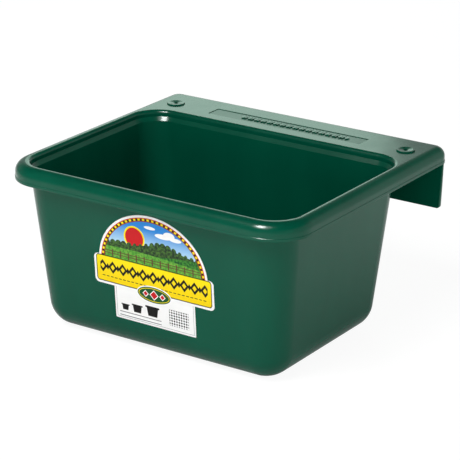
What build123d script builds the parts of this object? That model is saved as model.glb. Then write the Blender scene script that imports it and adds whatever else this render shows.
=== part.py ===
from build123d import *
import os
from math import cos, radians, sin, tan

# Plastic livestock feeder that hooks over a fence board, or is screwed down on one.
#
# The feeder is one moulding: an open tub with a turned-down rim, a flat deck behind its
# mouth and a hook lip along the back. Two thin films are stuck to its front wall.
#
# Millimetres. +X is to the right, +Y to the back, +Z up. The origin lies on the surface
# that the feeder stands on, at the middle of its width and of its depth.

# Mouth of the tub, the clear opening inside the rim
mouth_width = 260.0
mouth_depth = 184.5
rim_height = 145.0

# Walls
wall = 3.0
floor_wall = 3.5
deck_wall = 3.0
skirt_wall = 2.5
lip_wall = 4.5

# Slope of each wall of the tub, in degrees from upright
side_draft = 5.6
front_draft = 3.8
back_draft = 5.2

# Rounding inside the tub: the floor's edge, and how much larger the upright corners are
floor_edge_radius = 20.0
upright_extra = 2.0

# Rim, from the mouth outwards: inner roll, narrow flat, outer roll, and bead at its lower edge
crown_inner_radius = 3.2
crown_flat = 0.6
crown_outer_radius = 8.4
skirt_straight = 3.2
bead_height = 2.6
bead_proud = 0.3
front_corner_fill = 2.5
rear_corner_extra = 2.6

# Sloping step inside the mouth, which keeps nested feeders from wedging. The tub's walls start
# below the mouth's roll, and the step rises from them at an angle from upright, in degrees
mouth_straight = 4.3
stack_step = 2.2
step_rise = 2.0
step_slope = 34.0

# Hook: the gap for the board, and the lip behind it
board_gap = 48.0
lip_drop = 57.4
lip_side_inset = 3.2
lip_draft = 3.7
lip_corner_radius = 3.0

# Middle line of what stands on the deck, behind the mouth
deck_line_setback = 22.2

# Two screw bosses on the deck, each with a shallow dish
boss_side_inset = 24.1
boss_radius = 8.0
boss_height = 1.1
dish_margin = 1.8
dish_angle = 160.0
screw_radius = 1.8

# Sunk panel between the bosses
panel_boss_gap = 32.4
panel_length = 16.5
panel_sink = 0.4
panel_corner_radius = 1.5

# Films on the front wall: the picture label, and the size label tucked under its band
film = 0.2
label_shift = 3.7
label_base_gap = 4.0
label_top_gap = 6.3
band_side_gap = 35.5
band_height = 26.0
band_corner = 4.0
arch_inset = 5.5
arch_lap = 4.0
seal_width = 40.0
seal_drop = 8.5
size_label_inset = 19.3
size_label_show = 28.0
size_label_tuck = 8.0
size_label_corner = 1.0
lap_margin = 0.6

# Small edge breaks, each limited by the step or the wall that carries it
bead_break = 0.85 * bead_proud
boss_break = 0.25 * boss_height
lip_break = 0.15 * lip_wall
pocket_break = 0.6 * (crown_outer_radius - skirt_wall)

# Rim and deck in plan
rim_band = crown_inner_radius + crown_flat + crown_outer_radius + bead_proud
rim_width = mouth_width + 2 * rim_band
overall_depth = rim_band + mouth_depth + wall + board_gap + lip_wall + bead_proud
front_y = -overall_depth / 2
back_y = overall_depth / 2
mouth_front_y = front_y + rim_band
mouth_back_y = mouth_front_y + mouth_depth
mouth_middle_y = (mouth_front_y + mouth_back_y) / 2
lip_outer_y = back_y - bead_proud

# Levels
crown_z = rim_height - crown_outer_radius
skirt_z = crown_z - skirt_straight - bead_height
wall_top_z = rim_height - crown_inner_radius - mouth_straight
collar_z = wall_top_z - wall
step_top_z = wall_top_z + step_rise
step_foot_z = wall_top_z - stack_step / tan(radians(step_slope))
deck_under_z = rim_height - deck_wall
lip_z = rim_height - lip_drop

# Corner radii in plan
corner_radius = floor_edge_radius + upright_extra
mouth_corner = corner_radius + stack_step
rim_front_corner = mouth_corner + rim_band - front_corner_fill
rim_rear_corner = crown_outer_radius + bead_proud + rear_corner_extra

# Bosses and panel on the deck
deck_line_y = mouth_back_y + deck_line_setback
boss_spacing = rim_width - 2 * boss_side_inset
dish_radius = boss_radius - dish_margin
panel_width = boss_spacing - 2 * (boss_radius + panel_boss_gap)

# Labels, measured up the slope of the front wall from the size label's lower edge
label_base_z = floor_edge_radius + wall + label_base_gap
label_top_z = skirt_z - label_top_gap
label_height = (label_top_z - label_base_z) / cos(radians(front_draft))
front_narrowing = (wall_top_z - label_base_z) * tan(radians(side_draft))
front_flat_width = mouth_width - 2 * (stack_step + front_narrowing + corner_radius)
band_width = front_flat_width - 2 * band_side_gap
arch_width = band_width - 2 * arch_inset
arch_foot = size_label_show + band_height - arch_lap
arch_rise = label_height - arch_foot
size_label_width = band_width - 2 * size_label_inset
size_label_height = size_label_show + size_label_tuck


def rim_outline(inset, rear_extra=0.0):
    """Plan outline of the rim and the deck, inset from the bead, and by more at the rear."""
    with BuildSketch() as plan:
        with Locations((0, -rear_extra / 2)):
            Rectangle(rim_width - 2 * inset, overall_depth - 2 * inset - rear_extra)
        fillet(plan.vertices().group_by(Axis.Y)[0], rim_front_corner - inset)
        fillet(plan.vertices().group_by(Axis.Y)[-1], rim_rear_corner - inset)
    return plan.sketch


def mouth_outline(margin=0.0):
    """Outline of the mouth, grown by a margin."""
    with Locations((0, mouth_middle_y)):
        RectangleRounded(mouth_width + 2 * margin, mouth_depth + 2 * margin, mouth_corner + margin)


def tub_form(margin, low_z):
    """Tub from a low level up to the top of its walls, which lie a margin outside the cavity's."""
    top_plane = Plane.XY.offset(wall_top_z)
    growth = 2 * (margin - stack_step)
    with BuildPart() as form:
        with BuildSketch(top_plane):
            with Locations((0, mouth_middle_y)):
                Rectangle(mouth_width + growth, mouth_depth + growth)
        extrude(amount=low_z - wall_top_z)
        draft(form.faces().filter_by(Axis.X), top_plane, -side_draft)
        draft(form.faces().sort_by(Axis.Y)[:1], top_plane, -front_draft)
        draft(form.faces().sort_by(Axis.Y)[-1:], top_plane, -back_draft)
        fillet(form.edges().filter_by(Plane.XY, reverse=True), corner_radius + margin)
        fillet(form.edges().group_by(Axis.Z)[0], floor_edge_radius + margin)
    return form.part


def front_plane(height):
    """Plane of the front wall's outer face, with its origin on the labels' middle line."""
    slope = radians(front_draft)
    return Plane(
        origin=(label_shift, mouth_front_y + stack_step - wall + (wall_top_z - height) * tan(slope), height),
        x_dir=(1, 0, 0),
        z_dir=(0, -cos(slope), -sin(slope)),
    )


def size_label_outline(margin=0.0):
    """Outline of the size label, grown by a margin."""
    with Locations((0, size_label_height / 2)):
        RectangleRounded(size_label_width + 2 * margin, size_label_height + 2 * margin, size_label_corner)


def picture_label_outline():
    """Arch over a wider band, with a half-round seal that hangs below the band."""
    with Locations((0, arch_foot)):
        Ellipse(arch_width / 2, arch_rise)
    with Locations((0, arch_foot - arch_rise / 2)):
        Rectangle(arch_width, arch_rise, mode=Mode.SUBTRACT)
    with Locations((0, size_label_show + band_height / 2)):
        RectangleRounded(band_width, band_height, band_corner)
    with Locations((0, size_label_show)):
        Ellipse(seal_width / 2, seal_drop)


# Rim and deck in one block, with the outer roll round its top
with BuildPart() as rim_block:
    with BuildSketch(Plane.XY.offset(skirt_z)):
        add(rim_outline(bead_proud))
    extrude(amount=rim_height - skirt_z)
    fillet(rim_block.edges().group_by(Axis.Z)[-1], crown_outer_radius)

# Bead round the lower edge of the rim
with BuildPart() as rim_bead:
    with BuildSketch(Plane.XY.offset(skirt_z)):
        add(rim_outline(0))
    extrude(amount=bead_height)
    chamfer(rim_bead.edges().filter_by(Plane.XY), bead_break)

# Space under the rim and the deck, open below and bounded by the lip at the rear
with BuildPart() as rim_pocket:
    with BuildSketch(Plane.XY.offset(skirt_z)):
        add(rim_outline(bead_proud + skirt_wall, lip_wall - skirt_wall))
    extrude(amount=deck_under_z - skirt_z)
    chamfer(rim_pocket.edges().group_by(Axis.Z)[-1], pocket_break)

# Hook lip: a tapering plate that follows the rounded rear corners of the rim
with BuildPart() as hook_lip:
    half_top = rim_width / 2 - lip_side_inset
    half_bottom = half_top - (crown_z - lip_z) * tan(radians(lip_draft))
    with BuildSketch(Plane.XZ.offset(-lip_outer_y)) as plate:
        with BuildLine():
            Polyline(
                (-half_bottom, lip_z),
                (half_bottom, lip_z),
                (half_top, crown_z),
                (-half_top, crown_z),
                close=True,
            )
        make_face()
        fillet(plate.vertices().group_by(Axis.Y)[0], lip_corner_radius)
    extrude(amount=lip_wall)
    chamfer(hook_lip.edges().filter_by(Plane.XZ).sort_by(Axis.Z)[:-2], lip_break)
    with BuildSketch(Plane.XY.offset(lip_z)):
        add(rim_outline(bead_proud))
    extrude(amount=crown_z - lip_z, mode=Mode.INTERSECT)

# Walls and floor of the tub, with the collar that backs the mouth
tub_outer_form = tub_form(wall, 0)
with BuildPart() as tub_outside:
    add(tub_outer_form)
    with BuildSketch(Plane.XY.offset(collar_z)):
        mouth_outline(wall)
    extrude(amount=deck_under_z + deck_wall / 2 - collar_z)

# Space inside the tub: cavity, stacking step and mouth
tub_inner_form = tub_form(0, floor_wall)
with BuildPart() as tub_inside:
    add(tub_inner_form)
    with BuildSketch(Plane.XY.offset(step_top_z)):
        mouth_outline()
    extrude(amount=step_foot_z - step_top_z, taper=step_slope)
    with BuildSketch(Plane.XY.offset(step_top_z)):
        mouth_outline()
    extrude(amount=rim_height - step_top_z)

with BuildPart() as feeder_body:
    add(rim_block.part)
    add(rim_bead.part)
    add(rim_pocket.part, mode=Mode.SUBTRACT)
    add(hook_lip.part)
    add(tub_outside.part)
    add(tub_inside.part, mode=Mode.SUBTRACT)

    # Inner roll of the rim, all round the mouth
    rim_top = feeder_body.faces().filter_by(Plane.XY).sort_by(Axis.Z)[-1]
    fillet(rim_top.inner_wires()[0].edges(), crown_inner_radius)

    # Screw bosses, each with a shallow dish down to its hole
    with BuildSketch(Plane.XY.offset(rim_height)):
        with Locations((0, deck_line_y)):
            with GridLocations(boss_spacing, 0, 2, 1):
                Circle(boss_radius)
    extrude(amount=boss_height)
    chamfer(feeder_body.edges().group_by(Axis.Z)[-1], boss_break)
    with Locations(Plane((0, deck_line_y, rim_height + boss_height))):
        with GridLocations(boss_spacing, 0, 2, 1):
            CounterSinkHole(screw_radius, dish_radius, deck_wall + boss_height, dish_angle)

    # Sunk panel
    with BuildSketch(Plane.XY.offset(rim_height)):
        with Locations((0, deck_line_y)):
            RectangleRounded(panel_width, panel_length, panel_corner_radius)
    extrude(amount=-panel_sink, mode=Mode.SUBTRACT)

label_plane = front_plane(label_base_z)

with BuildPart() as size_label:
    with BuildSketch(label_plane):
        size_label_outline()
    extrude(amount=film)

# The picture label lies on the wall, and rises by its own thickness to lap over the size label
with BuildPart() as picture_label:
    with BuildSketch(label_plane):
        picture_label_outline()
    extrude(amount=film)
    with BuildSketch(label_plane):
        picture_label_outline()
        with BuildSketch(label_plane, mode=Mode.INTERSECT):
            size_label_outline(lap_margin)
    extrude(amount=2 * film)
    add(size_label.part, mode=Mode.SUBTRACT)

os.makedirs("parts", exist_ok=True)
for piece, name in (
    (feeder_body, "feeder_body"),
    (size_label, "size_label"),
    (picture_label, "picture_label"),
):
    piece.part.label = name
    export_step(piece.part, f"parts/{name}.step")
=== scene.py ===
"""Looks of a plastic livestock feeder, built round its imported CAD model.

The moulded body and its two stuck-on films keep their CAD shapes and are dressed here. One piece
is added: the low relief in the sunk panel of the deck. Blender units are metres, and values whose
names end in _mm are millimetres.
"""

from __future__ import annotations

import logging
import math
from collections.abc import Mapping
from dataclasses import dataclass, field
from enum import Enum

import bmesh
import bpy
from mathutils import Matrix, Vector


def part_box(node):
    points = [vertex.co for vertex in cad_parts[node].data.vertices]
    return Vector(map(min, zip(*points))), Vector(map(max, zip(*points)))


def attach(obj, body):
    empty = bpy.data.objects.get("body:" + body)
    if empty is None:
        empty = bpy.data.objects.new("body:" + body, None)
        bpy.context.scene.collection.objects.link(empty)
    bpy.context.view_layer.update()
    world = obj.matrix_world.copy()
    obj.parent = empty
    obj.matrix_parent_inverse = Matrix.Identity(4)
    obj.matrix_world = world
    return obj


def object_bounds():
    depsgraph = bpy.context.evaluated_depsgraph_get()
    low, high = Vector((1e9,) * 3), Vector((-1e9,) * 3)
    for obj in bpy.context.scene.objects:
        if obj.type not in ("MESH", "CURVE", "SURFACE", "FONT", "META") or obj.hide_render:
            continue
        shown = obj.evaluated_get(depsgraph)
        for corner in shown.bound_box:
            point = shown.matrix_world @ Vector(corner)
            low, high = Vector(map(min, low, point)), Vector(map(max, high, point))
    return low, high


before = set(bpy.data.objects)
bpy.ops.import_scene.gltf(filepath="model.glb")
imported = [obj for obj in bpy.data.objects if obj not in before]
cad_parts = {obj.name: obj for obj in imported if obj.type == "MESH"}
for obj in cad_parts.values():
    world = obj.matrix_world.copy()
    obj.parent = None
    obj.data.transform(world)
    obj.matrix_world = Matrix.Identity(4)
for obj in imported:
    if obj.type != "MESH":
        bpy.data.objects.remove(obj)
CAD_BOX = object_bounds()

LOG = logging.getLogger("feeder")
MM = 0.001
TINY = 1e-6

Colour = tuple[float, float, float, float]


def srgb(red: int, green: int, blue: int) -> Colour:
    """Turns a screen colour into the linear colour that shaders use.

    Args:
        red: Red from 0 to 255.
        green: Green from 0 to 255.
        blue: Blue from 0 to 255.

    Returns:
        The linear colour with an alpha of 1.
    """
    linear = [((c / 255 + 0.055) / 1.055) ** 2.4 if c > 10 else c / 255 / 12.92 for c in (red, green, blue)]
    return (*linear, 1.0)


class Wire:
    """An output socket of a shader graph, with the graph that it belongs to."""

    def __init__(self, graph: Graph, socket: bpy.types.NodeSocket) -> None:
        """Keeps the socket and its graph."""
        self.graph = graph
        self.socket = socket


class Field(Wire):
    """A number that varies over a surface. Python's operators on it add Math nodes."""

    def _with(self, operation: str, *values: Number) -> Field:
        """Adds a Math node that works on these values."""
        return self.graph.maths(operation, *values)

    def __add__(self, other: Number) -> Field:
        """This plus another."""
        return self._with("ADD", self, other)

    def __radd__(self, other: Number) -> Field:
        """Another plus this."""
        return self._with("ADD", other, self)

    def __sub__(self, other: Number) -> Field:
        """This less another."""
        return self._with("SUBTRACT", self, other)

    def __rsub__(self, other: Number) -> Field:
        """Another less this."""
        return self._with("SUBTRACT", other, self)

    def __mul__(self, other: Number) -> Field:
        """This times another."""
        return self._with("MULTIPLY", self, other)

    def __rmul__(self, other: Number) -> Field:
        """Another times this."""
        return self._with("MULTIPLY", other, self)

    def __truediv__(self, other: Number) -> Field:
        """This over another."""
        return self._with("DIVIDE", self, other)

    def __neg__(self) -> Field:
        """This with its sign turned."""
        return self._with("MULTIPLY", self, -1.0)

    def __abs__(self) -> Field:
        """This without its sign."""
        return self._with("ABSOLUTE", self)

    def sqrt(self) -> Field:
        """The square root."""
        return self._with("SQRT", self)

    def sine(self) -> Field:
        """The sine, in radians."""
        return self._with("SINE", self)

    def floor(self) -> Field:
        """The next whole number down."""
        return self._with("FLOOR", self)

    def least(self, other: Number) -> Field:
        """The smaller of the two."""
        return self._with("MINIMUM", self, other)

    def most(self, other: Number) -> Field:
        """The larger of the two."""
        return self._with("MAXIMUM", self, other)

    def angle_to(self, across: Number) -> Field:
        """The angle whose tangent is this over another, in radians."""
        return self._with("ARCTAN2", self, across)

    def clipped(self) -> Field:
        """This, held between 0 and 1."""
        return self.most(0.0).least(1.0)

    def repeated(self, pitch: float) -> Field:
        """The distance from the nearest of a row of points.

        Args:
            pitch: Distance between the points, the first of which is at 0.

        Returns:
            The signed distance, up to half the pitch either way.
        """
        return self - (self / pitch + 0.5).floor() * pitch


class Place(Wire):
    """A point that varies over a surface. Its operators add Vector Math nodes."""

    def __mul__(self, factors: tuple[float, float, float]) -> Place:
        """Stretches the point.

        Args:
            factors: One factor for each axis.

        Returns:
            The stretched point.
        """
        settings = {"operation": "MULTIPLY"}
        made = self.graph.node("ShaderNodeVectorMath", settings, {0: self, 1: factors})
        return Place(self.graph, made.outputs["Vector"])

    def parts(self) -> tuple[Field, Field, Field]:
        """Splits the point.

        Returns:
            Its three coordinates.
        """
        made = self.graph.node("ShaderNodeSeparateXYZ", {}, {"Vector": self})
        x, y, z = (Field(self.graph, socket) for socket in made.outputs)
        return x, y, z


class Paint(Wire):
    """A colour that varies over a surface."""

    def under(self, colour: Colour | Paint, mask: Number) -> Paint:
        """Covers this colour with another one.

        Args:
            colour: The colour on top.
            mask: How much of it shows, from 0 to 1.

        Returns:
            The two colours mixed.
        """
        return self.graph.mixed(self, colour, mask)


Number = float | Field
Socket = float | tuple[float, ...] | Wire
Owner = bpy.types.Material | bpy.types.World


class Graph:
    """The node tree of one material or of the surroundings."""

    def __init__(self, owner: Owner) -> None:
        """Empties the owner's node tree.

        Args:
            owner: The material or the world that the nodes are for.
        """
        self.owner = owner
        self.owner.use_nodes = True
        self.tree = owner.node_tree
        self.tree.nodes.clear()

    def node(
        self, kind: str, settings: Mapping[str, object], inputs: Mapping[str | int, Socket]
    ) -> bpy.types.Node:
        """Adds one node of any type.

        Args:
            kind: The node's type.
            settings: Its own settings, which are set first. The stops of a ramp are given as
                pairs of a position and a colour, under the name stops.
            inputs: A value or a wire for each input socket, by name or by number.

        Returns:
            The new node.
        """
        made = self.tree.nodes.new(kind)
        for name, value in settings.items():
            if name == "stops":
                self._set_stops(made.color_ramp, value)
            else:
                setattr(made, name, value)
        for name, value in inputs.items():
            if isinstance(value, Wire):
                self.tree.links.new(value.socket, made.inputs[name])
            else:
                made.inputs[name].default_value = value
        return made

    @staticmethod
    def _set_stops(ramp: bpy.types.ColorRamp, stops: list[tuple[float, Colour]]) -> None:
        """Gives a ramp its stops.

        Args:
            ramp: The ramp, which starts with two.
            stops: At least two pairs of a position and a colour, in rising order.
        """
        while len(ramp.elements) < len(stops):
            ramp.elements.new(1.0)
        for element, (position, colour) in zip(ramp.elements, stops):
            element.position = position
            element.color = colour

    def maths(self, operation: str, *values: Number) -> Field:
        """Adds a Math node.

        Args:
            operation: The node's operation.
            values: Its inputs, in order.

        Returns:
            The result.
        """
        made = self.node("ShaderNodeMath", {"operation": operation}, dict(enumerate(values)))
        return Field(self, made.outputs[0])

    def mixed(self, below: Colour | Paint, above: Colour | Paint, mask: Number) -> Paint:
        """Mixes two colours.

        Args:
            below: The colour where the mask is 0.
            above: The colour where the mask is 1.
            mask: A number from 0 to 1.

        Returns:
            The mixed colour.
        """
        factor, first, second, result = 0, 6, 7, 2
        inputs = {factor: mask, first: below, second: above}
        made = self.node("ShaderNodeMix", {"data_type": "RGBA"}, inputs)
        return Paint(self, made.outputs[result])

    def ramp(self, position: Field, stops: list[tuple[float, Colour]]) -> Paint:
        """Turns a number into a colour.

        Args:
            position: The number, from 0 to 1.
            stops: Positions and the colours that they stand for.

        Returns:
            The colour.
        """
        made = self.node("ShaderNodeValToRGB", {"stops": stops}, {"Fac": position})
        return Paint(self, made.outputs["Color"])

    def place(self, source: str = "Object") -> Place:
        """The point on the surface, in metres in the part's own frame.

        Args:
            source: The output that is read. For the surroundings it is Generated, a direction.

        Returns:
            The point.
        """
        made = self.node("ShaderNodeTexCoord", {}, {})
        return Place(self, made.outputs[source])

    def noise(self, place: Place, per_metre: float, detail: float = 2.0, roughness: float = 0.5) -> Field:
        """Soft random mottling.

        Args:
            place: Where the noise is read.
            per_metre: How many of its cells a metre holds.
            detail: How many finer layers it has.
            roughness: How strong the finer layers are.

        Returns:
            A number about 0.5.
        """
        inputs = {"Vector": place, "Scale": per_metre, "Detail": detail, "Roughness": roughness}
        return Field(self, self.node("ShaderNodeTexNoise", {}, inputs).outputs["Fac"])

    def bump(self, height: Field, depth: float) -> Wire:
        """Turns a height into a tilted normal.

        Args:
            height: The height, where 1 stands for the whole depth.
            depth: The depth, in metres.

        Returns:
            The normal.
        """
        inputs = {"Height": height, "Distance": depth, "Strength": 1.0}
        return Wire(self, self.node("ShaderNodeBump", {}, inputs).outputs["Normal"])

    def finish(self, inputs: Mapping[str, Socket]) -> Owner:
        """Ends the graph in a Principled BSDF.

        Args:
            inputs: A value or a wire for each of its sockets that isn't left alone.

        Returns:
            The material.
        """
        shader = self.node("ShaderNodeBsdfPrincipled", {}, inputs)
        self.node("ShaderNodeOutputMaterial", {}, {"Surface": Wire(self, shader.outputs["BSDF"])})
        return self.owner


@dataclass(frozen=True)
class MouldedPlastic:
    """Glossy green polyethylene as it leaves the mould, with faint flow streaks and soft waves."""

    deep: Colour = srgb(0, 78, 58)
    fresh: Colour = srgb(1, 87, 65)
    ior: float = 1.29
    streaks_per_metre: float = 24.0
    streak_stretch: tuple[float, float, float] = (1.0, 1.0, 0.4)
    streak_detail: float = 4.0
    streak_roughness: float = 0.55
    streak_contrast: float = 1.8
    streak_balance: float = 0.4
    grain_per_metre: float = 900.0
    waves_per_metre: float = 30.0
    grain_depth: float = 0.000004
    wave_depth: float = 0.00022
    roughness: float = 0.19
    roughness_swing: float = 0.08
    panel_roughness: float = 0.1
    panel_edge: float = 0.0002

    def material(self, name: str, panel: tuple[Vector, Vector]) -> Owner:
        """Makes the finish.

        Args:
            name: The material's name.
            panel: Lowest and highest corner of the sunk panel's floor, which is matt.

        Returns:
            The material.
        """
        graph = Graph(bpy.data.materials.new(name))
        place = graph.place()
        stretched = place * self.streak_stretch
        streaks = graph.noise(stretched, self.streaks_per_metre, self.streak_detail, self.streak_roughness)
        fresh = (streaks * self.streak_contrast - self.streak_balance).clipped()
        grain = graph.noise(place, self.grain_per_metre, 1.0)
        waves = graph.noise(place, self.waves_per_metre, 1.0)
        rough = self.roughness + (streaks - 0.5) * self.roughness_swing
        rough = rough + self.inside(place, panel) * self.panel_roughness
        height = grain + waves * (self.wave_depth / self.grain_depth)
        return graph.finish(
            {
                "Base Color": graph.mixed(self.deep, self.fresh, fresh),
                "Roughness": rough,
                "IOR": self.ior,
                "Normal": graph.bump(height, self.grain_depth),
            }
        )

    def inside(self, place: Place, panel: tuple[Vector, Vector]) -> Field:
        """The mask of the sunk panel's floor.

        Args:
            place: The point on the surface.
            panel: Lowest and highest corner of the floor.

        Returns:
            1 on the floor and 0 off it, with a soft edge.
        """
        low, high = panel
        x, y, z = place.parts()
        past_x = abs(x - (low.x + high.x) / 2) - (high.x - low.x) / 2
        past_y = abs(y - (low.y + high.y) / 2) - (high.y - low.y) / 2
        past_z = abs(z - low.z)
        return (1.0 - past_x.most(past_y).most(past_z) / self.panel_edge).clipped()


class Ink(Enum):
    """The printing colours of the two films."""

    WHITE = srgb(255, 255, 254)
    YELLOW = srgb(255, 233, 0)
    GOLD = srgb(252, 216, 0)
    BLACK = srgb(16, 15, 14)
    CRIMSON = srgb(150, 8, 16)
    RED = srgb(206, 18, 26)
    SKY = srgb(44, 140, 222)
    HAZE = srgb(176, 216, 242)
    RIDGE = srgb(30, 52, 34)
    SHRUB = srgb(22, 84, 38)
    LEAF = srgb(74, 116, 44)
    MEADOW = srgb(70, 148, 46)
    PASTURE = srgb(118, 178, 66)
    WOOD = srgb(96, 66, 44)
    GREY = srgb(104, 106, 108)


@dataclass
class Print:
    """A film's flat artwork, drawn with distances from shapes, in millimetres.

    Each shape is a signed distance, negative inside, and ink() turns it into a mask.
    """

    graph: Graph
    across: Field
    up: Field
    softness: float = 0.14

    def ink(self, distance: Field) -> Field:
        """The mask of a shape: 1 inside, 0 outside, with a soft edge."""
        return (0.5 - distance / self.softness).clipped()

    def shifted(self, x: float, y: float | Field) -> tuple[Field, Field]:
        """The place as seen from a point."""
        return self.across - x, self.up - y

    def oval(self, x: float, y: float, half_width: float, half_height: float) -> Field:
        """Distance from an ellipse.

        Args:
            x: Its middle across the film.
            y: Its middle up the film.
            half_width: Half its width.
            half_height: Half its height.

        Returns:
            The signed distance, close enough near the outline.
        """
        dx, dy = self.shifted(x, y)
        near = (dx * dx / half_width**2 + dy * dy / half_height**2).sqrt()
        slope = (dx * dx / half_width**4 + dy * dy / half_height**4).sqrt()
        return near * (near - 1.0) / slope.most(TINY)

    def block(self, x: float, y: float, half_width: float, half_height: float, corner: float = 0.0) -> Field:
        """Distance from an upright rectangle.

        Args:
            x: Its middle across the film.
            y: Its middle up the film.
            half_width: Half its width.
            half_height: Half its height.
            corner: The radius of its corners.

        Returns:
            The signed distance.
        """
        dx, dy = self.shifted(x, y)
        past_x = abs(dx) - (half_width - corner)
        past_y = abs(dy) - (half_height - corner)
        return self.corner_of(past_x, past_y) - corner

    @staticmethod
    def corner_of(past_x: Field, past_y: Field) -> Field:
        """Distance from a square corner.

        Args:
            past_x: How far a point is past the corner's upright side.
            past_y: How far it is past the level side.

        Returns:
            The signed distance.
        """
        outer_x = past_x.most(0.0)
        outer_y = past_y.most(0.0)
        return (outer_x * outer_x + outer_y * outer_y).sqrt() + past_x.most(past_y).least(0.0)

    @staticmethod
    def lozenge(dx: Field, dy: Field, half_width: float, half_height: float) -> Field:
        """Distance from a lozenge about a point.

        Args:
            dx: Place across the film, from its middle.
            dy: Place up the film, from its middle.
            half_width: Half its width.
            half_height: Half its height.

        Returns:
            The signed distance.
        """
        scale = half_width * half_height / math.hypot(half_width, half_height)
        return (abs(dx) / half_width + abs(dy) / half_height - 1.0) * scale


class Side(Enum):
    """The two films on the front wall."""

    PICTURE = "picture_label"
    SIZE = "size_label"


@dataclass
class Film:
    """One printed film of the front wall: its CAD solid, dressed with its artwork."""

    side: Side
    slope: float = math.radians(3.8)
    roughness: float = 0.3
    ior: float = 1.3
    wrinkles_per_metre: float = 55.0
    wrinkle_depth: float = 0.00016

    def start(self) -> Print:
        """Lays out the artwork's plane.

        Returns:
            The plane, measured from the film's middle line and up from its lowest edge.
        """
        low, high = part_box(self.side.value)
        graph = Graph(bpy.data.materials.new(self.side.value))
        x, _, z = graph.place().parts()
        middle = (low.x + high.x) / 2
        across = (x - middle) * (1 / MM)
        up = (z - low.z) * (1 / MM / math.cos(self.slope))
        return Print(graph, across, up)

    def size_mm(self) -> tuple[float, float]:
        """Width and height of the film, in millimetres, measured along the wall."""
        low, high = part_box(self.side.value)
        return (high.x - low.x) / MM, (high.z - low.z) / MM / math.cos(self.slope)

    def artwork(self, sheet: Print) -> Paint:
        """The colour of the film, which each film draws in its own way."""
        raise NotImplementedError

    def dress(self) -> None:
        """Prints the film and puts its material on the CAD solid."""
        sheet = self.start()
        graph = sheet.graph
        wrinkles = graph.noise(graph.place(), self.wrinkles_per_metre, detail=2.0)
        material = graph.finish(
            {
                "Base Color": self.artwork(sheet),
                "Roughness": self.roughness,
                "IOR": self.ior,
                "Normal": graph.bump(wrinkles, self.wrinkle_depth),
            }
        )
        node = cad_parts[self.side.value]
        node.data.materials.clear()
        node.data.materials.append(material)
        LOG.info("%s printed, %.0f x %.0f mm", self.side.value, *self.size_mm())


@dataclass(frozen=True)
class Fold:
    """The waved top line of a stretch of land in the picture, in millimetres."""

    level: float
    swell: float
    length: float
    start: float

    def top(self, across: Field) -> Field:
        """Height of the line at each place across the film."""
        return self.level + (across / self.length + self.start).sine() * self.swell


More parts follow.
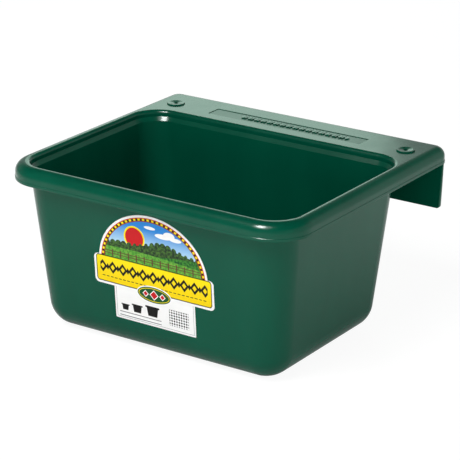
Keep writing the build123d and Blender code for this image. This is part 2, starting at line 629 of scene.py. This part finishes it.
@dataclass
class PictureFilm(Film):
    """The arched film: a plain country scene over a yellow band, with an oval seal below.

    All lengths are in millimetres, across from the film's middle and up from its lowest edge.
    """

    side: Side = Side.PICTURE
    border: float = 2.0
    outline: float = 0.8
    arch_inset: float = 5.5
    arch_lap: float = 4.0
    ring: float = 3.4
    ring_checks: int = 34

    sky_foot: float = 50.0
    sky_depth: float = 16.0
    sun: tuple[float, float, float, float] = (-17.0, 56.0, 9.0, 9.0)
    halo: float = 1.4
    clouds: tuple[tuple[float, float, float, float], ...] = (
        (12.0, 63.0, 8.0, 2.2),
        (18.0, 65.0, 5.5, 3.0),
        (24.0, 62.4, 6.0, 1.8),
        (-1.0, 68.0, 5.5, 1.4),
    )
    ridge: Fold = Fold(50.0, 3.2, 15.0, 0.9)
    hill: Fold = Fold(45.2, 2.6, 21.0, -0.7)
    meadow: Fold = Fold(42.4, 2.0, 29.0, 2.2)
    tree_gap: float = 5.6
    tree_radius: float = 2.4
    tree_swing: float = 1.0
    tree_swing_length: float = 7.0
    tree_stretch: float = 0.7
    mottle_per_metre: float = 420.0
    mottle_detail: float = 3.0
    mottle_roughness: float = 0.6
    mottle_contrast: float = 5.0
    mottle_balance: float = 2.1

    post_gap: float = 8.0
    post_half: tuple[float, float] = (0.6, 3.2)
    post_middle: float = 38.0
    rails: tuple[float, float] = (37.4, 39.6)
    rail_half: float = 0.35

    band_height: float = 26.0
    band_corner: float = 4.0
    band_top_gap: float = 0.2
    chain_gap: float = 10.2
    chain_level: float = 24.4
    chain_margin: float = 4.0
    chain_stroke: float = 1.9
    link_half: tuple[float, float] = (4.6, 5.6)
    knot_half: tuple[float, float] = (1.7, 3.0)
    dash_gap: float = 4.2
    dash_level: float = 15.2
    dash_margin: float = 5.0
    dash_half: tuple[float, float] = (1.4, 1.0)

    seal_width: float = 40.0
    seal_drop: float = 8.5
    seal_lift: float = 0.4
    seal_inset: tuple[float, float] = (3.6, 1.6)
    seal_rings: tuple[tuple[float, Ink], ...] = (
        (0.9, Ink.WHITE),
        (0.0, Ink.SHRUB),
        (-1.0, Ink.YELLOW),
        (-1.5, Ink.SHRUB),
    )
    seal_marks: tuple[tuple[float, float], ...] = ((-8.4, 2.2), (0.0, 3.6), (8.4, 2.2))
    mark_edge: float = 0.9

    def artwork(self, sheet: Print) -> Paint:
        """Draws the scene, the ring round it, the band and the seal.

        Args:
            sheet: The film's plane.

        Returns:
            The film's colour.
        """
        width, height = self.size_mm()
        foot = self.seal_drop + self.band_height - self.arch_lap
        half_width, rise = width / 2 - self.arch_inset, height - foot
        arch = sheet.oval(0.0, foot, half_width, rise)
        colour = self.ringed(sheet, arch, foot, half_width, rise)
        colour = colour.under(self.country(sheet), sheet.ink(arch + self.border + self.ring))
        colour = colour.under(Ink.WHITE.value, sheet.ink(sheet.up - foot))
        colour = self.banded(sheet, colour, width)
        return self.sealed(sheet, colour)

    def ringed(self, sheet: Print, arch: Field, foot: float, half_width: float, rise: float) -> Paint:
        """Lays the checked ring inside the film's white border.

        Args:
            sheet: The film's plane.
            arch: Distance from the arch's edge.
            foot: Height of the arch's foot.
            half_width: Half the arch's width.
            rise: Height of the arch above its foot.

        Returns:
            The colour with the ring on it.
        """
        dx, dy = sheet.shifted(0.0, foot)
        turn = (dy / rise).angle_to(dx / half_width)
        pitch = math.pi / self.ring_checks
        check = (abs(turn.repeated(pitch)) - pitch / 4) * ((half_width + rise) / 2)
        middle = abs(arch + self.border + self.ring / 2) - (self.ring / 2 - self.outline)
        colour = sheet.graph.mixed(Ink.WHITE.value, Ink.RED.value, sheet.ink(arch + self.border))
        colour = colour.under(Ink.YELLOW.value, sheet.ink(arch + self.border + self.outline))
        colour = colour.under(Ink.BLACK.value, sheet.ink(middle.most(check)))
        return colour.under(Ink.CRIMSON.value, sheet.ink(arch + self.border + self.ring - self.outline))

    def country(self, sheet: Print) -> Paint:
        """Draws the sky, a low sun, clouds, a wooded ridge, two folds of meadow and a rail fence.

        Args:
            sheet: The film's plane.

        Returns:
            The scene's colour, without a limit at its edges.
        """
        graph = sheet.graph
        rise = ((sheet.up - self.sky_foot) / self.sky_depth).clipped()
        sun = sheet.oval(*self.sun)
        scene = graph.mixed(Ink.HAZE.value, Ink.SKY.value, rise)
        scene = scene.under(Ink.YELLOW.value, sheet.ink(sun - self.halo))
        scene = scene.under(Ink.RED.value, sheet.ink(sun))
        for cloud in self.clouds:
            scene = scene.under(Ink.WHITE.value, sheet.ink(sheet.oval(*cloud)))
        mottle = graph.noise(graph.place(), self.mottle_per_metre, self.mottle_detail, self.mottle_roughness)
        light = (mottle * self.mottle_contrast - self.mottle_balance).clipped()
        stretches = (
            (self.wood(sheet), Ink.RIDGE, Ink.LEAF),
            (sheet.up - self.hill.top(sheet.across), Ink.SHRUB, Ink.MEADOW),
            (sheet.up - self.meadow.top(sheet.across), Ink.MEADOW, Ink.PASTURE),
        )
        for stretch, dark, bright in stretches:
            scene = scene.under(graph.mixed(dark.value, bright.value, light), sheet.ink(stretch))
        return scene.under(Ink.WOOD.value, sheet.ink(self.fence(sheet)))

    def wood(self, sheet: Print) -> Field:
        """Distance from the ridge with its row of round trees.

        Args:
            sheet: The film's plane.

        Returns:
            The signed distance.
        """
        dx = sheet.across.repeated(self.tree_gap)
        dy = sheet.up - self.ridge.top(sheet.across)
        radius = self.tree_radius + (sheet.across / self.tree_swing_length).sine() * self.tree_swing
        crown = (dx * dx + dy * dy * self.tree_stretch).sqrt() - radius
        return dy.least(crown)

    def fence(self, sheet: Print) -> Field:
        """Distance from two rails and the posts that carry them.

        Args:
            sheet: The film's plane.

        Returns:
            The signed distance.
        """
        half_width, half_height = self.post_half
        lower, upper = self.rails
        post_x = abs(sheet.across.repeated(self.post_gap)) - half_width
        post = post_x.most(abs(sheet.up - self.post_middle) - half_height)
        rails = (abs(sheet.up - lower) - self.rail_half).least(abs(sheet.up - upper) - self.rail_half)
        return post.least(rails)

    def banded(self, sheet: Print, colour: Paint, width: float) -> Paint:
        """Lays the yellow band, with a painted shine, its chain of lozenges and its row of dashes.

        Args:
            sheet: The film's plane.
            colour: What lies below.
            width: Width of the film.

        Returns:
            The colour with the band on it.
        """
        half_width = width / 2 - self.border
        foot = self.seal_drop + self.border
        top = self.seal_drop + self.band_height - self.band_top_gap
        middle, half_height = (foot + top) / 2, (top - foot) / 2
        band = sheet.block(0.0, middle, half_width, half_height, self.band_corner - self.border / 2)
        colour = colour.under(Ink.BLACK.value, sheet.ink(band))
        # Painted shine: the band's yellow is painted darker gold at its foot and brighter toward its top.
        painted_band_shine = ((sheet.up - foot) / (top - foot)).clipped()
        yellow = sheet.graph.mixed(Ink.GOLD.value, Ink.YELLOW.value, painted_band_shine)
        colour = colour.under(yellow, sheet.ink(band + self.outline))
        dy = sheet.up - self.chain_level
        link = sheet.lozenge(sheet.across.repeated(self.chain_gap), dy, *self.link_half)
        between = (sheet.across - self.chain_gap / 2).repeated(self.chain_gap)
        knot = sheet.lozenge(between, dy, *self.knot_half)
        chain = link.least(knot).most(band + self.chain_margin)
        colour = colour.under(Ink.BLACK.value, sheet.ink(chain))
        colour = colour.under(yellow, sheet.ink(link + self.chain_stroke))
        dash_x = abs(sheet.across.repeated(self.dash_gap)) - self.dash_half[0]
        dash_y = abs(sheet.up - self.dash_level) - self.dash_half[1]
        return colour.under(Ink.BLACK.value, sheet.ink(dash_x.most(dash_y).most(band + self.dash_margin)))

    def sealed(self, sheet: Print, colour: Paint) -> Paint:
        """Lays the oval seal with its three lozenges over the foot of the band.

        Args:
            sheet: The film's plane.
            colour: What lies below.

        Returns:
            The colour with the seal on it.
        """
        middle = self.seal_drop + self.seal_lift
        side_inset, end_inset = self.seal_inset
        seal = sheet.oval(0.0, middle, self.seal_width / 2 - side_inset, self.seal_drop - end_inset)
        for grown, ink in self.seal_rings:
            colour = colour.under(ink.value, sheet.ink(seal - grown))
        for x, size in self.seal_marks:
            dx, dy = sheet.shifted(x, middle)
            edge = size + self.mark_edge
            colour = colour.under(Ink.WHITE.value, sheet.ink(sheet.lozenge(dx, dy, edge, edge)))
            colour = colour.under(Ink.RED.value, sheet.ink(sheet.lozenge(dx, dy, size, size)))
        return colour


@dataclass
class SizeFilm(Film):
    """The white film below the band: a hairline frame round three plain tub signs.

    All lengths are in millimetres, across from the film's middle and up from its lowest edge.
    """

    side: Side = Side.SIZE
    hairline_inset: float = 1.7
    hairline: float = 0.28
    tubs: tuple[tuple[float, float], ...] = ((-30.0, 4.8), (-18.0, 6.4), (-2.6, 8.2))
    tub_foot: float = 8.6
    tub_half_base: float = 0.55
    tub_flare: float = 0.16
    tub_rim: tuple[float, float, float] = (0.86, 0.1, 0.06)
    rules: tuple[float, float, float, float] = (-15.0, 4.9, 21.0, 1.9)
    rule_gap: float = 3.1
    rule_shift: float = 0.2
    rule_half: float = 0.32
    patch: tuple[float, float, float, float, float] = (23.8, 12.2, 9.6, 7.2, 0.6)
    patch_gap: float = 2.4
    patch_half: float = 1.05

    def artwork(self, sheet: Print) -> Paint:
        """Draws the hairline, three tubs of growing size, two rules and a patch of lozenges.

        Args:
            sheet: The film's plane.

        Returns:
            The film's colour.
        """
        width, height = self.size_mm()
        half_width, half_height = width / 2 - self.hairline_inset, height / 2 - self.hairline_inset
        frame_line = abs(sheet.block(0.0, height / 2, half_width, half_height)) - self.hairline / 2
        colour = sheet.graph.mixed(Ink.WHITE.value, Ink.GREY.value, sheet.ink(frame_line))
        for x, size in self.tubs:
            colour = colour.under(Ink.BLACK.value, sheet.ink(self.tub(sheet, x, size)))
        rule = abs(sheet.up.repeated(self.rule_gap) - self.rule_shift) - self.rule_half
        colour = colour.under(Ink.GREY.value, sheet.ink(rule.most(sheet.block(*self.rules))))
        column, row = sheet.across.repeated(self.patch_gap), sheet.up.repeated(self.patch_gap)
        dots = sheet.lozenge(column, row, self.patch_half, self.patch_half)
        return colour.under(Ink.BLACK.value, sheet.ink(dots.most(sheet.block(*self.patch))))

    def tub(self, sheet: Print, x: float, size: float) -> Field:
        """Distance from a plain sign of a tub, whose widths grow with its height.

        Args:
            sheet: The film's plane.
            x: The tub's middle across the film.
            size: Its height.

        Returns:
            The signed distance.
        """
        dx, dy = sheet.shifted(x, self.tub_foot)
        wall = abs(dx) - (size * self.tub_half_base + dy * self.tub_flare)
        tub = wall.most(-dy).most(dy - size)
        half_width, half_height, corner = (size * share for share in self.tub_rim)
        rim = sheet.block(x, self.tub_foot + size, half_width, half_height, corner)
        return tub.least(rim)


@dataclass
class PanelRelief:
    """The low relief in the deck's sunk panel: a row of lozenges and slanted ribs."""

    boss_mm: float = 1.1
    sink_mm: float = 0.4
    height_mm: float = 0.85
    flank_mm: float = 0.3
    root_mm: float = 0.02
    lozenges: int = 17
    lozenge_mm: tuple[float, float] = (2.3, 3.6)
    rib_mm: tuple[float, float] = (0.55, 3.0)
    rib_slant_mm: float = 1.3
    start_share: float = 0.21
    end_share: float = 0.89
    flat: float = 0.999
    nearness_mm: float = 0.05

    def floor(self) -> tuple[Vector, Vector]:
        """Finds the panel's floor on the CAD body.

        Returns:
            Its lowest and highest corner.
        """
        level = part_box("feeder_body")[1].z - (self.boss_mm + self.sink_mm) * MM
        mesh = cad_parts["feeder_body"].data
        points = [
            mesh.vertices[index].co
            for face in mesh.polygons
            if face.normal.z > self.flat and abs(face.center.z - level) < self.nearness_mm * MM
            for index in face.vertices
        ]
        low = Vector(min(point[i] for point in points) for i in range(3))
        high = Vector(max(point[i] for point in points) for i in range(3))
        return low, high

    def pad(self, mesh: bmesh.types.BMesh, outline: list[tuple[float, float]], middle: Vector) -> None:
        """Raises one pad with sloping flanks.

        Args:
            mesh: The mesh that it joins.
            outline: Its outline about its own middle, in millimetres, anticlockwise from above.
            middle: Its middle on the panel's floor.
        """
        reach = max(math.hypot(*point) for point in outline)
        top_share = 1 - self.flank_mm / reach
        shoulder = self.height_mm - self.flank_mm
        rings = []
        for share, height in ((1.0, -self.root_mm), (1.0, shoulder), (top_share, self.height_mm)):
            corners = [middle + Vector((x * share, y * share, height)) * MM for x, y in outline]
            rings.append([mesh.verts.new(corner) for corner in corners])
        mesh.faces.new(list(reversed(rings[0])))
        mesh.faces.new(rings[-1])
        for lower, upper in zip(rings, rings[1:]):
            for i, corner in enumerate(lower):
                j = (i + 1) % len(lower)
                mesh.faces.new((corner, lower[j], upper[j], upper[i]))

    def build(self, panel: tuple[Vector, Vector], material: Owner) -> None:
        """Builds the row of pads and lets it ride on the body.

        Args:
            panel: Lowest and highest corner of the panel's floor.
            material: The body's plastic.
        """
        low, high = panel
        start = low.x + (high.x - low.x) * self.start_share
        pitch = (high.x - low.x) * (self.end_share - self.start_share) / (self.lozenges - 1)
        half_x, half_y = self.lozenge_mm
        rib_x, rib_y = self.rib_mm
        slant = self.rib_slant_mm / 2
        lozenge = [(half_x, 0.0), (0.0, half_y), (-half_x, 0.0), (0.0, -half_y)]
        rib = [
            (rib_x - slant, -rib_y),
            (rib_x + slant, rib_y),
            (slant - rib_x, rib_y),
            (-rib_x - slant, -rib_y),
        ]
        mesh = bmesh.new()
        for i in range(2 * self.lozenges - 1):
            middle = Vector((start + i * pitch / 2, (low.y + high.y) / 2, low.z))
            self.pad(mesh, rib if i % 2 else lozenge, middle)
        data = bpy.data.meshes.new("panel_relief")
        mesh.to_mesh(data)
        mesh.free()
        data.materials.append(material)
        piece = bpy.data.objects.new("panel_relief", data)
        bpy.context.scene.collection.objects.link(piece)
        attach(piece, "root")
        LOG.info("panel_relief built, %d lozenges", self.lozenges)


@dataclass
class Feeder:
    """The whole feeder: its moulded body, its relief and its two films."""

    plastic: MouldedPlastic = field(default_factory=MouldedPlastic)
    relief: PanelRelief = field(default_factory=PanelRelief)
    films: tuple[Film, ...] = field(default_factory=lambda: (PictureFilm(), SizeFilm()))

    def build(self) -> None:
        """Dresses the CAD solids and adds the relief."""
        panel = self.relief.floor()
        green = self.plastic.material("body_plastic", panel)
        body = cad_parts["feeder_body"]
        body.data.materials.clear()
        body.data.materials.append(green)
        LOG.info("feeder_body dressed")
        self.relief.build(panel, green)
        for film in self.films:
            film.dress()


class Effect(Enum):
    """What a lamp does to the feeder."""

    WHOLE = "lights it and shows in its gloss"
    GLOSS = "shows in its gloss, like a reflector card"
    FILL = "lights it softly, and its gloss doesn't show it"


@dataclass(frozen=True)
class Softbox:
    """A rectangular lamp with a diffuser, aimed at the feeder."""

    name: str
    azimuth: float
    elevation: float
    distance: float
    width: float
    height: float
    watts: float
    tint: tuple[float, float, float] = (1.0, 1.0, 1.0)
    effect: Effect = Effect.WHOLE

    def place(self, target: Vector) -> None:
        """Hangs the lamp.

        Args:
            target: What it is aimed at. Azimuth 0 is in front of the feeder, and 90 to its right.
        """
        data = bpy.data.lights.new(self.name, "AREA")
        data.shape = "RECTANGLE"
        data.size = self.width
        data.size_y = self.height
        data.energy = self.watts
        data.color = self.tint
        lamp = bpy.data.objects.new(self.name, data)
        lamp.visible_camera = False
        lamp.visible_diffuse = self.effect is not Effect.GLOSS
        lamp.visible_glossy = self.effect is not Effect.FILL
        turn, lift = math.radians(self.azimuth), math.radians(self.elevation)
        away = Vector((math.sin(turn) * math.cos(lift), -math.cos(turn) * math.cos(lift), math.sin(lift)))
        lamp.location = target + away * self.distance
        lamp.rotation_euler = away.to_track_quat("Z", "Y").to_euler()
        bpy.context.scene.collection.objects.link(lamp)


@dataclass
class Studio:
    """The pale floor, the soft light and the camera of a product photograph.

    The floor is two sheets. The upper one is what the camera sees. The lower one is what lights
    the feeder from below, and it is greyer, as real studio paper is beside a clipped white. Its
    glow is painted light, given at distances from its middle, in metres, and dimmest close to
    the feeder as a painted shadow.
    """

    floor_size: float = 14.0
    floor_roughness: float = 0.9
    white_drop: float = 0.0002
    white_colour: Colour = (0.1, 0.1, 0.1, 1.0)
    white_glow: float = 0.93
    paper_drop: float = 0.0006
    paper_colour: Colour = (0.38, 0.38, 0.38, 1.0)
    paper_painted_glow: tuple[tuple[float, float], ...] = ((0.14, 0.25), (0.48, 0.95), (1.0, 0.7))
    sky: tuple[tuple[float, float], ...] = ((0.0, 0.85), (0.35, 0.8), (0.5, 0.3), (0.6, 0.08), (1.0, 0.06))
    sky_lean: tuple[float, float] = (0.26, 0.3)
    sky_middle: float = 0.63
    azimuth: float = 34.281
    elevation: float = 20.447
    camera_place: tuple[float, float, float] = (0.9765, -1.4276, 0.7222)
    focal_pixels: float = 2184.06
    image_pixels: int = 460
    sensor_mm: float = 36.0
    softboxes: tuple[Softbox, ...] = (
        Softbox("key_softbox", -3.0, 53.0, 1.5, 0.8, 0.8, 13.5),
        Softbox("key_card", -12.0, 55.0, 1.49, 0.46, 0.5, 45.0, effect=Effect.GLOSS),
        Softbox("fill_softbox", 10.0, 6.0, 1.6, 0.8, 0.3, 3.9, effect=Effect.FILL),
        Softbox("back_softbox", 216.2, 20.5, 1.6, 0.61, 0.6, 2.2, tint=(0.68, 1.0, 0.84)),
    )

    def build(self) -> None:
        """Sets the floor, the surroundings, the lamps and the camera."""
        self.lay_paper()
        self.lay_white()
        self.surround()
        low, high = CAD_BOX
        for softbox in self.softboxes:
            softbox.place((low + high) / 2)
        self.aim_camera()
        bpy.context.scene.view_settings.view_transform = "Standard"
        LOG.info("studio set")

    def lay_paper(self) -> None:
        """Lays the lower sheet, whose painted glow lights the feeder, dimmed close to it as painted shadow.
        """
        graph = Graph(bpy.data.materials.new("studio_paper"))
        x, y, _ = graph.place().parts()
        stops = [(reach, (light, light, light, 1.0)) for reach, light in self.paper_painted_glow]
        inputs = {
            "Base Color": self.paper_colour,
            "Roughness": self.floor_roughness,
            # Painted glow by distance: dim near the feeder as a painted shadow, brighter farther out.
            "Emission Color": graph.ramp((x * x + y * y).sqrt(), stops),
            "Emission Strength": 1.0,
        }
        sheet = self.lay_sheet(graph.finish(inputs), self.paper_drop)
        sheet.visible_camera = False

    def lay_white(self) -> None:
        """Lays the upper sheet, which only the camera sees."""
        graph = Graph(bpy.data.materials.new("studio_floor"))
        inputs = {
            "Base Color": self.white_colour,
            "Roughness": self.floor_roughness,
            "Emission Color": (1.0, 1.0, 1.0, 1.0),
            "Emission Strength": self.white_glow,
        }
        sheet = self.lay_sheet(graph.finish(inputs), self.white_drop)
        sheet.visible_diffuse = False
        sheet.visible_glossy = False
        sheet.visible_transmission = False
        sheet.visible_shadow = False

    def lay_sheet(self, material: Owner, drop: float) -> bpy.types.Object:
        """Lays one sheet of the floor.

        Args:
            material: Its material, whose name the sheet gets too.
            drop: How far it lies below the feeder's base, in metres.

        Returns:
            The sheet.
        """
        half = self.floor_size / 2
        corners = [(-half, -half, 0), (half, -half, 0), (half, half, 0), (-half, half, 0)]
        data = bpy.data.meshes.new(material.name)
        data.from_pydata(corners, [], [(0, 1, 2, 3)])
        data.materials.append(material)
        sheet = bpy.data.objects.new(material.name, data)
        sheet.location.z = CAD_BOX[0].z - drop
        bpy.context.scene.collection.objects.link(sheet)
        return sheet

    def surround(self) -> None:
        """Surrounds the feeder with light: bright low down at the back, dark in front and above."""
        world = bpy.data.worlds.new("studio_light")
        bpy.context.scene.world = world
        graph = Graph(world)
        right, back, height = graph.place("Generated").parts()
        to_right, to_back = self.sky_lean
        strength = self.sky_middle + right * to_right + back * to_back
        stops = [(position, (light, light, light, 1.0)) for position, light in self.sky]
        inputs = {"Color": graph.ramp(height, stops), "Strength": strength}
        light = graph.node("ShaderNodeBackground", {}, inputs)
        graph.node("ShaderNodeOutputWorld", {}, {"Surface": Wire(graph, light.outputs["Background"])})

    def aim_camera(self) -> None:
        """Puts the camera where the photograph was taken from."""
        data = bpy.data.cameras.new("camera")
        data.sensor_width = self.sensor_mm
        data.lens = self.focal_pixels / self.image_pixels * self.sensor_mm
        camera = bpy.data.objects.new("camera", data)
        camera.location = self.camera_place
        camera.rotation_euler = (math.radians(90 - self.elevation), 0.0, math.radians(self.azimuth))
        bpy.context.scene.collection.objects.link(camera)
        bpy.context.scene.camera = camera


def main() -> None:
    """Builds the studio and the feeder."""
    logging.basicConfig(level=logging.INFO, format="%(name)s: %(message)s")
    Studio().build()
    Feeder().build()


if __name__ == "__main__":
    main()
